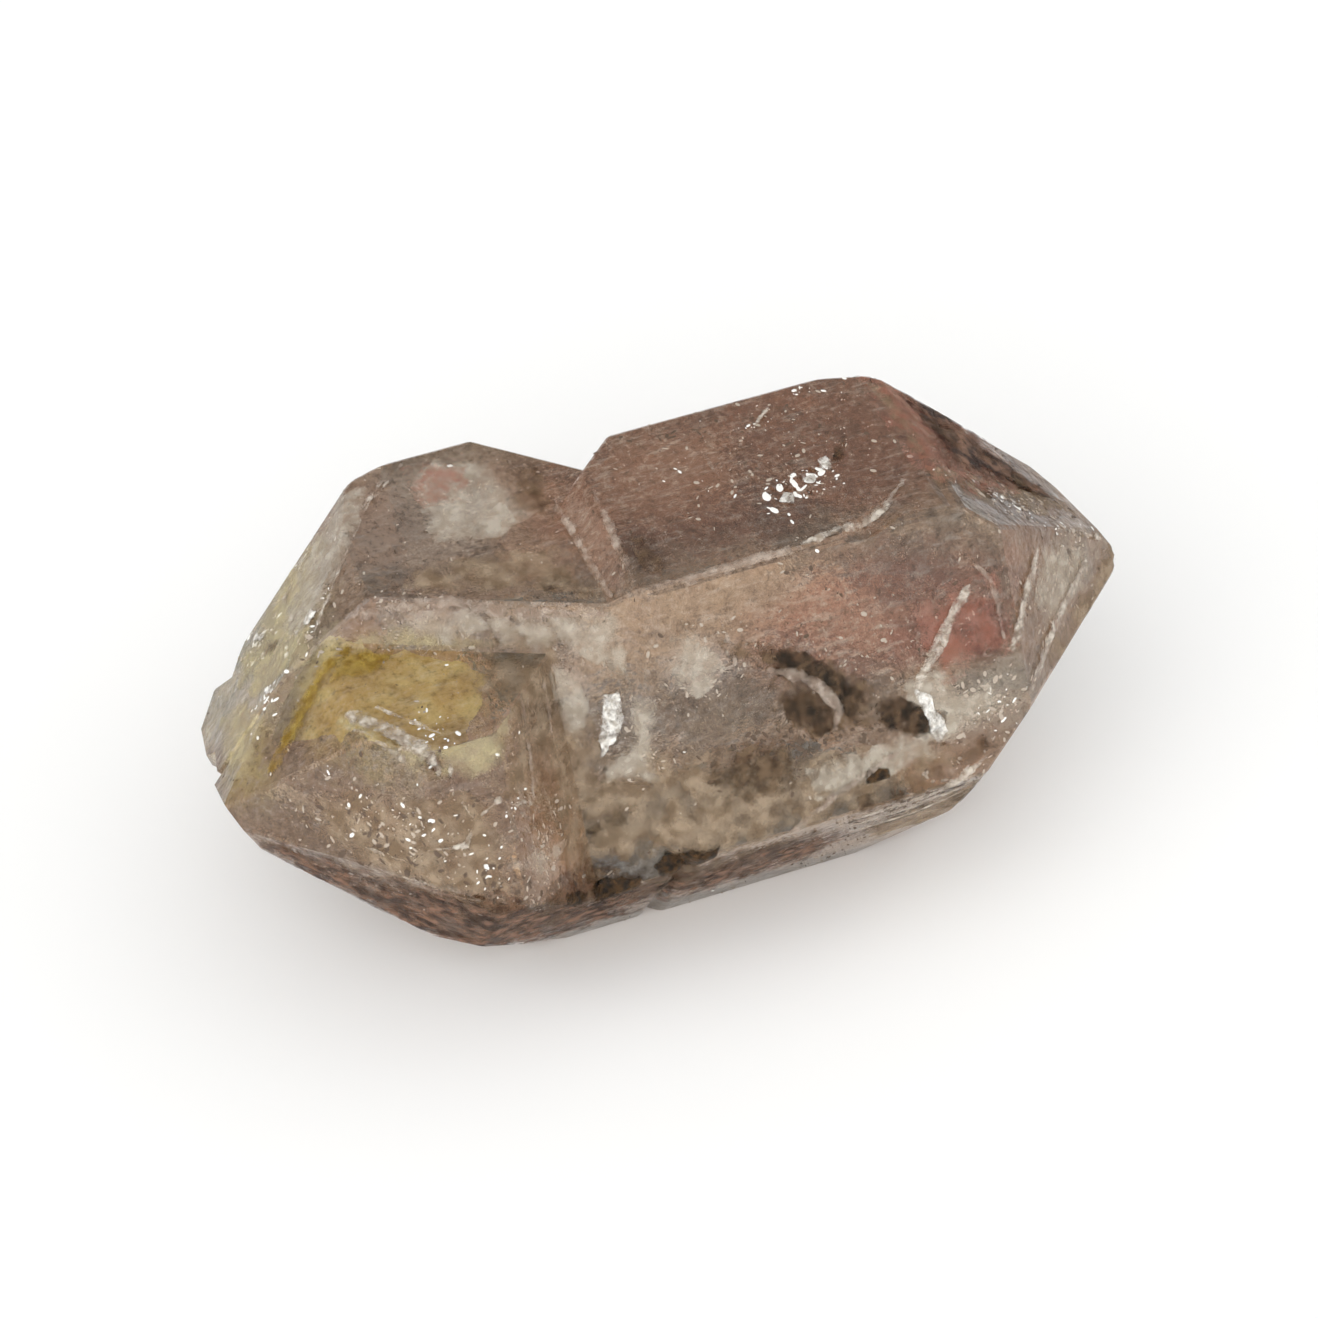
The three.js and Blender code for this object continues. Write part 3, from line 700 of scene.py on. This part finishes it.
def film(skin, side, corners, inside, depth, step, ragged=0.12, grain=0.35, relief=0.0, thick=FILM_THICK):
    """A thin closed sheet along the face, where inside() is above 0, on a grid of the given step.

    Its edge wanders by ragged, in waves of grain, and its depth by relief. The cover attribute of its
    vertices says how far in they are.
    """
    us, vs = zip(*corners)
    low = Vector((min(us) - MARGIN, min(vs) - MARGIN))
    high = Vector((max(us) + MARGIN, max(vs) + MARGIN))
    size, middle = high - low, (low + high) / 2
    shift = depth * 9  # so that no two films wander alike
    bm = bmesh.new()
    cover = bm.verts.layers.float.new("cover")
    bmesh.ops.create_grid(
        bm, x_segments=math.ceil(size.x / step), y_segments=math.ceil(size.y / step), size=0.5,
        matrix=Matrix.Translation(middle.to_3d()) @ Matrix.Diagonal((size.x, size.y, 1, 1)),
    )
    bm.verts.index_update()
    lost = []
    for vert in bm.verts:
        flat = vert.co.xy
        wander = noise.noise(Vector((flat.x, flat.y, shift)) / grain)
        place, _ = skin.seat(side, flat.x, flat.y, depth + relief * (1 + wander))
        vert[cover] = inside(flat) + ragged * wander
        if place is None or vert[cover] < 0:
            lost.append(vert)
        else:
            vert.co = place
    bmesh.ops.delete(bm, geom=lost, context="VERTS")
    steep = [e for e in bm.edges if e.calc_length() > step * STEEPEST]
    bmesh.ops.delete(bm, geom=steep, context="EDGES_FACES")
    loose = [v for v in bm.verts if not v.link_faces]
    bmesh.ops.delete(bm, geom=loose, context="VERTS")
    for _ in range(RIM_ROUNDS):
        rim = [v for v in bm.verts if v.is_boundary]
        bmesh.ops.smooth_vert(bm, verts=rim, factor=0.5, use_axis_x=True, use_axis_y=True, use_axis_z=True)
    sunk = bmesh.ops.extrude_face_region(bm, geom=bm.faces[:])
    for vert in sunk["geom"]:
        if isinstance(vert, bmesh.types.BMVert):
            vert.co -= skin.tree.find_nearest(vert.co)[1] * thick
    bmesh.ops.recalc_face_normals(bm, faces=bm.faces)
    return bm


def outlined(skin, side, corners, depth, **more):
    """A film within a closed outline."""
    points = [Vector(c) for c in corners]
    return film(skin, side, corners, lambda p: inside_outline(p, points), depth, **more)


def streak(skin, side, corners, width, depth, **more):
    """A film along a path."""
    points = [Vector(c) for c in corners]
    return film(skin, side, corners, lambda p: inside_path(p, points, width), depth, **more)


def joined(parts):
    """Several bmeshes as one, which keeps how far in each vertex is."""
    whole = bmesh.new()
    whole.verts.layers.float.new("cover")
    for part in parts:
        mesh = bpy.data.meshes.new("part")
        part.to_mesh(mesh)
        part.free()
        whole.from_mesh(mesh)
        bpy.data.meshes.remove(mesh)
    return whole


def pile(shapes):
    """Many small coarse balls in one mesh, each squashed and placed by its own matrix."""
    shapes = list(shapes)
    batches = []
    for start in range(0, len(shapes), BATCH):
        batch = bmesh.new()
        for shape in shapes[start:start + BATCH]:
            bmesh.ops.create_icosphere(batch, subdivisions=1, radius=1, matrix=shape)
        batches.append(batch)
    return joined(batches)


def all_round(skin, count, rng, longest, pattern):
    """Places all round the stone, thicker in some parts than in others, as clustered() gives them."""
    patch = 1.9
    while count:
        place, normal = skin.anywhere(rng)
        if noise.noise(place / patch + Vector((pattern, 0, 0))) > rng.uniform(-0.25, 0.6):
            count -= 1
            yield place, normal, longest


def clustered(skin, clusters, rng):
    """Places in each cluster, thinning out towards its edge, with the faces' normals and the longest flake's half."""
    for side, middle, radii, turned, count, longest in clusters:
        turn = Matrix.Rotation(math.radians(turned), 2)
        for _ in range(count):
            flat = turn @ Vector((rng.gauss(0, radii[0] / 2), rng.gauss(0, radii[1] / 2))) + Vector(middle)
            place, normal = skin.seat(side, flat.x, flat.y, 0)
            if place is not None:
                yield place, normal, longest


def flakes(places, rng):
    """Small flakes that lie flat in the faces, roughly along a few directions, most of them small."""
    for place, normal, longest in places:
        size = longest * (0.2 + 0.8 * rng.random() ** 3)
        turn = normal.to_track_quat("Z", "X").to_matrix().to_4x4()
        turn = turn @ Matrix.Rotation(rng.choice(FLECK_TURNS) + rng.gauss(0, 0.35), 4, "Z")
        shape = Matrix.Diagonal((size, size * rng.uniform(0.2, 0.7), FLECK_THICK, 1))
        yield Matrix.Translation(place) @ turn @ shape


def veil(skin, middle, radii, turned, count, bubble_mm, rng):
    """A wavy sheet of tiny bubbles, where a crack inside the crystal has healed."""
    turn = Euler([math.radians(a) for a in turned]).to_matrix()
    for _ in range(count):
        angle, reach = rng.uniform(0, math.tau), rng.random() ** 0.5
        flat = Vector((radii[0] * reach * math.cos(angle), radii[1] * reach * math.sin(angle), 0))
        if noise.noise(flat / VEIL_GAP + Vector((9, 0, 0))) + 0.25 < reach * 0.5:
            continue
        flat.z = noise.noise(flat / VEIL_WAVE) * VEIL_HEIGHT + rng.gauss(0, VEIL_SCATTER)
        place = Vector(middle) + turn @ flat
        if skin.holds(place, VEIL_CLEAR):
            spin = Euler([rng.uniform(0, math.tau) for _ in range(3)]).to_matrix().to_4x4()
            size = bubble_mm * rng.uniform(0.5, 1.5)
            yield Matrix.Translation(place) @ spin @ Matrix.Diagonal((size, size, size * 0.7, 1))


def hazy(name, colours, fade, solid, gaps, size):
    """A film's material: it wanders between two colours, fades out at its edges and is patchy."""
    material = bpy.data.materials.new(name)
    graph = Graph(material)
    place = graph.place()
    patchy = graph.noise(place, size, detail=5, rough=0.7)
    cover = graph.node("ShaderNodeAttribute", {"attribute_name": "cover"}, output="Fac") / fade
    ragged = (patchy - 0.5) * 2.4
    edge = (cover + ragged).rising(0.0, 1.0)
    held = patchy.rising(0.38, 0.62) * gaps + (1 - gaps)
    colour = graph.mix(graph.noise(place, size * 0.6, detail=2).rising(0.35, 0.65), *colours)
    graph.set(Base_Color=colour, Roughness=0.6, Alpha=edge * held * solid, Specular_IOR_Level=0.25)
    return material


def tinted(graph, place):
    """The colour of the quartz, with each of its tints, some of which are painted shade."""
    warp = graph.noise(place, 1.1, detail=4, rough=0.6)
    colour = graph.mix(warp.rising(0.35, 0.7), QUARTZ, DEEPER_QUARTZ)
    ragged = warp * 0.8 - 0.4  # up to this much further in or out, in shares of a tint's reach
    for tint in TINTS:
        colour = graph.mix(graph.inside(place, ragged, tint), colour, tint["colour"])
    return colour


def clouded(graph, place, dusk, colour):
    """A colour with the cloudiness over it, from broad smoky patches down to a fine grain."""
    colour = graph.mix(dusk.rising(0.5, 0.72) * 0.6, colour, SMOKY_PATCHES)
    for turn, lean in WISP_TURNS:
        brushed = graph.node("ShaderNodeMapping", {}, place, Rotation=(0, lean, turn), Scale=(1, 5, 3))
        wisp = graph.noise(brushed, 1.2, detail=4, rough=0.6).rising(0.56, 0.72)
        colour = graph.mix(wisp * 0.5, colour, PALE_WISPS)
    grainy = graph.noise(place, 0.25, detail=4, rough=0.8)
    colour = graph.mix(grainy.rising(0.5, 0.7) * 0.7, colour, PALE_GRAIN)
    return graph.mix(grainy.rising(0.5, 0.3) * 0.7, colour, DARK_GRAIN)


class HERKIMER_OT_crystal(bpy.types.Operator):
    """Gives the solid the look of clear, smoky, slightly cloudy quartz"""

    bl_idname = "herkimer.crystal"
    bl_label = "Clear crystal"

    def execute(self, context):
        settings = context.scene.herkimer_crystal
        solid = crystal_solid()
        material = bpy.data.materials.new("clear_quartz")
        graph = Graph(material)
        place = graph.place()
        dusk = graph.noise(place, 0.7, detail=6, rough=0.75)
        relief = graph.noise(place, RELIEF_MM, detail=4, rough=0.6)
        bump = graph.node("ShaderNodeBump", {}, Strength=0.4, Distance=RELIEF_HEIGHT, Height=relief)
        graph.set(Base_Color=clouded(graph, place, dusk, tinted(graph, place)),
                  Roughness=dusk.rising(0.45, 0.75) * 0.1 + settings.polish, Normal=bump, IOR=QUARTZ_IOR,
                  Transmission_Weight=settings.clearness)
        absorb = graph.node("ShaderNodeVolumeAbsorption", {}, (*settings.smoke, 1), settings.density)
        graph.tree.links.new(absorb.socket, graph.tree.nodes["Material Output"].inputs["Volume"])
        solid.data.materials.clear()
        solid.data.materials.append(material)
        return {"FINISHED"}


class HERKIMER_OT_stain(bpy.types.Operator):
    """Adds the rusty film under the left end's faces"""

    bl_idname = "herkimer.stain"
    bl_label = "Iron stain"

    def execute(self, context):
        skin = Skin()
        material = bpy.data.materials.new("iron_stain")
        graph = Graph(material)
        place = graph.place()
        patchy = graph.noise(place, 1.1, detail=4)
        leftward = graph.towards(place, STAIN_EDGE)
        palest, middling, darkest = STAIN_COLOURS
        colour = graph.mix(patchy.rising(0.35, 0.62), palest, middling)
        colour = graph.mix((leftward + patchy * 1.6).rising(8.4, 9.6), colour, darkest)
        graph.set(Base_Color=colour, Roughness=0.6)
        bm = outlined(skin, ABOVE, STAIN, STAIN_DEPTH, step=0.1, ragged=0.35, grain=0.7,
                      relief=STAIN_RELIEF, thick=STAIN_THICK)
        inclusion("iron_stain", bm, material)
        return {"FINISHED"}


class HERKIMER_OT_films(bpy.types.Operator):
    """Adds the hazy patches, the earthy rims, the dark flaws, the worn edges and the cracks, with painted shade and
    painted highlights among them, and the painted glints on little breaks
    """

    bl_idname = "herkimer.films"
    bl_label = "Films on the faces"

    def execute(self, context):
        skin = Skin()
        for layer, (name, kind) in enumerate(FILMS.items()):
            look = dict(kind)
            parts = []
            for i, (side, corners, *width) in enumerate(look.pop("marks").values()):
                depth = -FIRST_LAYER - LAYER * layer - MARK_LAYER * i
                if width:
                    parts.append(streak(skin, side, corners, *width, depth, step=0.05, ragged=0.08))
                else:
                    parts.append(outlined(skin, side, corners, depth, step=min(0.12, look["fade"] / 2)))
            inclusion(name, joined(parts), hazy(name, **look))
        return {"FINISHED"}


class HERKIMER_OT_flecks(bpy.types.Operator):
    """Adds the flecks in the skin, in clusters and all round; the white ones are painted glints"""

    bl_idname = "herkimer.flecks"
    bl_label = "Flecks"

    def execute(self, context):
        skin = Skin()
        rng = random.Random(context.scene.herkimer_inclusions.seed)
        for i, (name, (clusters, scattered, longest, colour, roughness)) in enumerate(FLECKS.items()):
            places = [*clustered(skin, clusters, rng), *all_round(skin, scattered, rng, longest, 7 * i)]
            material = plain(name, Base_Color=(*colour, 1), Roughness=roughness)
            inclusion(name, pile(flakes(places, rng)), material)
        return {"FINISHED"}


class HERKIMER_OT_veils(bpy.types.Operator):
    """Adds the sheets of tiny bubbles across the inside"""

    bl_idname = "herkimer.veils"
    bl_label = "Bubble veils"

    def execute(self, context):
        settings = context.scene.herkimer_inclusions
        skin = Skin()
        rng = random.Random(settings.seed + 2)
        milky = plain("veil_bubbles", Base_Color=(*VEIL_COLOUR, 1), Roughness=0.4)
        for name, (middle, radii, turned, count) in VEILS.items():
            bubbles = veil(skin, middle, radii, turned, count, settings.bubble_mm, rng)
            inclusion(name, pile(bubbles), milky)
        return {"FINISHED"}


class HERKIMER_OT_stage(bpy.types.Operator):
    """Adds the floor, the light and the camera"""

    bl_idname = "herkimer.stage"
    bl_label = "Stage"

    def execute(self, context):
        settings = context.scene.herkimer_stage
        bm = bmesh.new()
        bmesh.ops.create_grid(bm, x_segments=1, y_segments=1, size=FLOOR_REACH)
        pale = plain("pale_floor", Base_Color=(*FLOOR_COLOUR, 1), Roughness=0.8)
        new_object("floor", bm, pale)

        world = bpy.data.worlds.new("studio")
        graph = Graph(world, "Background")
        way = graph.node("ShaderNodeTexCoord", {}, output="Generated")
        # the studio is dimmer towards the back, and has one broad soft window high on the left
        dimmer = graph.towards(way, (0, 1, 0)).rising(-0.2, 0.9, settings.sky - settings.back)
        window = graph.towards(way, WINDOW_WAY).rising(0.7, 0.95, settings.window)
        graph.set(Strength=settings.sky - dimmer + window, Color=WHITE)
        # light this soft needs no samples of its own, which make the render twice as slow
        world.cycles.sampling_method = "NONE"
        context.scene.world = world

        lens = bpy.data.cameras.new("camera")
        lens.lens = settings.lens
        lens.clip_start = 0.001
        camera = bpy.data.objects.new("camera", lens)
        context.scene.collection.objects.link(camera)
        turn = Euler((math.pi / 2 - settings.elevation, 0, settings.azimuth))
        camera.rotation_euler = turn
        middle = Vector(STONE_MIDDLE) * MM
        camera.location = middle + turn.to_matrix() @ Vector((0, 0, settings.distance_mm * MM))
        context.scene.camera = camera
        context.scene.view_settings.view_transform = "Standard"
        return {"FINISHED"}


class HERKIMER_PT_panel(bpy.types.Panel):
    """Lists the operators"""

    bl_label = "Herkimer diamond"
    bl_idname = "HERKIMER_PT_panel"
    bl_space_type = "VIEW_3D"
    bl_region_type = "UI"
    bl_category = "Herkimer"

    def draw(self, context):
        for operator in OPERATORS:
            self.layout.operator(operator.bl_idname)
        for name in SETTINGS:
            group = getattr(context.scene, name)
            box = self.layout.box()
            for key in group.__annotations__:
                box.prop(group, key)


OPERATORS = (
    HERKIMER_OT_crystal,
    HERKIMER_OT_stain,
    HERKIMER_OT_films,
    HERKIMER_OT_flecks,
    HERKIMER_OT_veils,
    HERKIMER_OT_stage,
)
SETTINGS = {
    "herkimer_crystal": CrystalSettings,
    "herkimer_inclusions": InclusionSettings,
    "herkimer_stage": StageSettings,
}


def register():
    for cls in (*SETTINGS.values(), *OPERATORS, HERKIMER_PT_panel):
        bpy.utils.register_class(cls)
    for name, group in SETTINGS.items():
        setattr(bpy.types.Scene, name, PointerProperty(type=group))


def unregister():
    for name in SETTINGS:
        delattr(bpy.types.Scene, name)
    for cls in (HERKIMER_PT_panel, *reversed(OPERATORS), *SETTINGS.values()):
        bpy.utils.unregister_class(cls)


def main():
    """Builds all the pieces."""
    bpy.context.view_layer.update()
    register()
    for operator in OPERATORS:
        group, name = operator.bl_idname.split(".")
        getattr(getattr(bpy.ops, group), name)()


if __name__ == "__main__":
    main()
